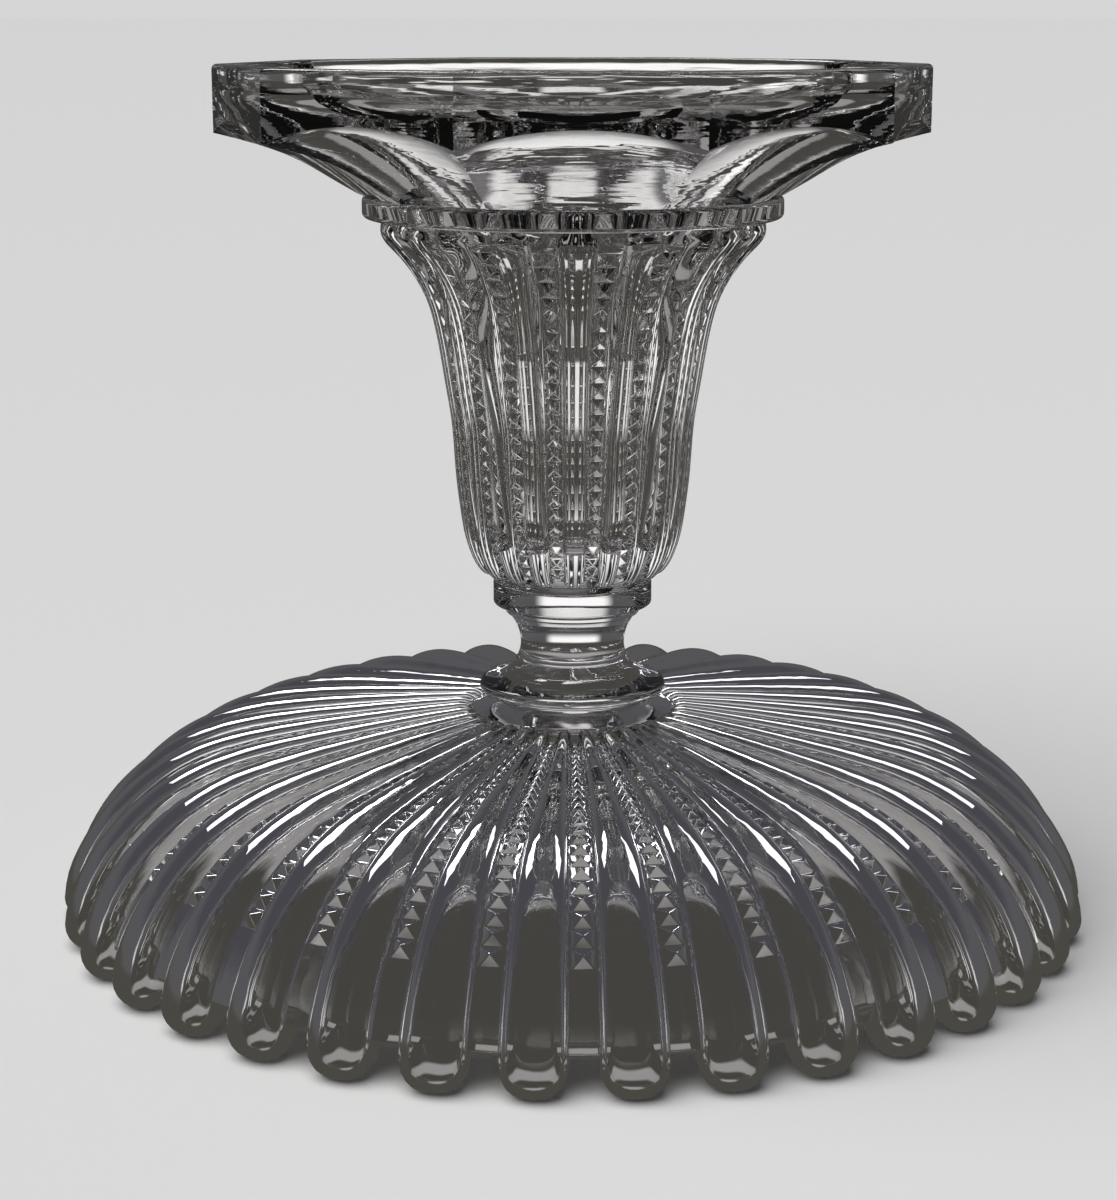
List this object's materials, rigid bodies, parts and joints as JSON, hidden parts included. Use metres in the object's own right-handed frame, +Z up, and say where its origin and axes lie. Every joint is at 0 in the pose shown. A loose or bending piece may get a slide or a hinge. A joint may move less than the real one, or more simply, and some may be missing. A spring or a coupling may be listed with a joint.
{
  "type": "candlestick",
  "caption": "Pressed glass candlestick with a domed ribbed foot, short waisted stem, fluted bell socket and a ten-sided drip pan.",
  "frame": {"origin": "centre of the ring of lobes the foot stands on, at floor level", "axes": "+Z up along the candlestick's axis, -Y towards the middle of one side of the pan"},
  "size_m": [0.1542, 0.1542, 0.127],
  "materials": {
    "clear_glass": "fire-polished pressed glass, clear with a faint smoky cast"
  },
  "bodies": {
    "root": {"domed_foot": "clear_glass", "stem_merese": "clear_glass", "stem_neck": "clear_glass", "stem_knop": "clear_glass", "candle_socket": "clear_glass", "pan_collar": "clear_glass", "drip_pan": "clear_glass"}
  },
  "joints": []
}
